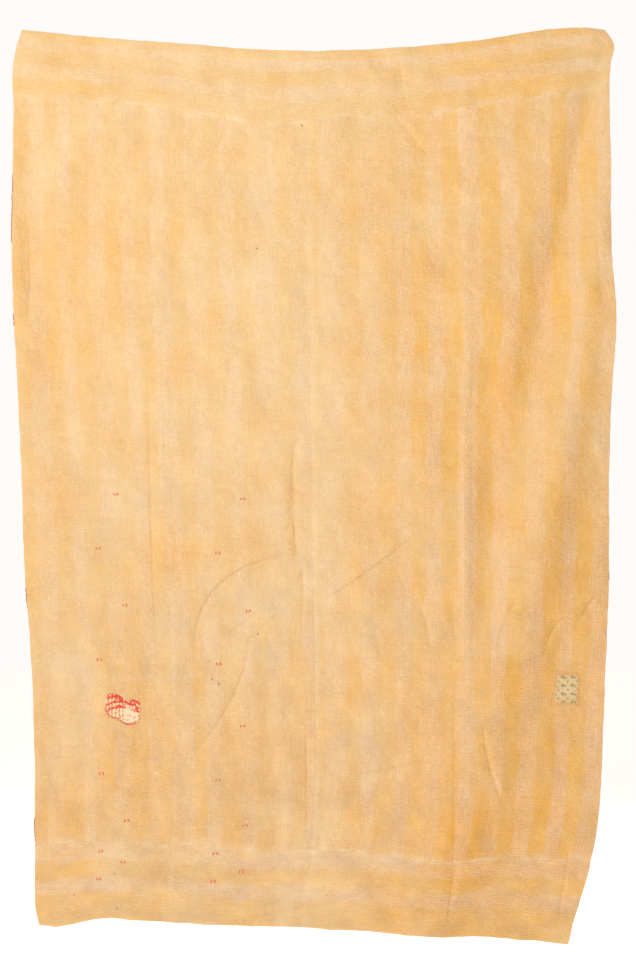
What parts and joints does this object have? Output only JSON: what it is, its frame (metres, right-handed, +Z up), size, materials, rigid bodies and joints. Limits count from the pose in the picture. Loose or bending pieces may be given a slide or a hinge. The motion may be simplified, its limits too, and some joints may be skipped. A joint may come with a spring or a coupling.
{
  "type": "kantha quilt",
  "caption": "Hand-quilted striped cotton kantha throw with two end bands and two small print mends, hanging from its top corners.",
  "frame": {"origin": "middle of the top edge, where the cloth sags lowest between its two held corners", "axes": "+X to the right seen from the front, -Y out of the front, +Z up"},
  "size_m": [1.4636, 0.1614, 2.242],
  "materials": {
    "striped_cotton": "old layered plain-weave cotton, faded gold and cream warp stripes, puckered by rows of running stitch",
    "banded_cotton": "the same old striped cotton turned so that its stripes run across, puckered by rows of running stitch",
    "red_print_cotton": "thin plain-weave cotton with a small red print on off-white, hemmed down by hand",
    "sage_print_cotton": "thin plain-weave cotton with a small dark print on grey-green, hemmed down by hand"
  },
  "bodies": {
    "root": {"main_panel": "striped_cotton", "top_band": "banded_cotton", "bottom_band": "banded_cotton", "red_print_patch": "red_print_cotton", "sage_print_patch": "sage_print_cotton"}
  },
  "joints": []
}
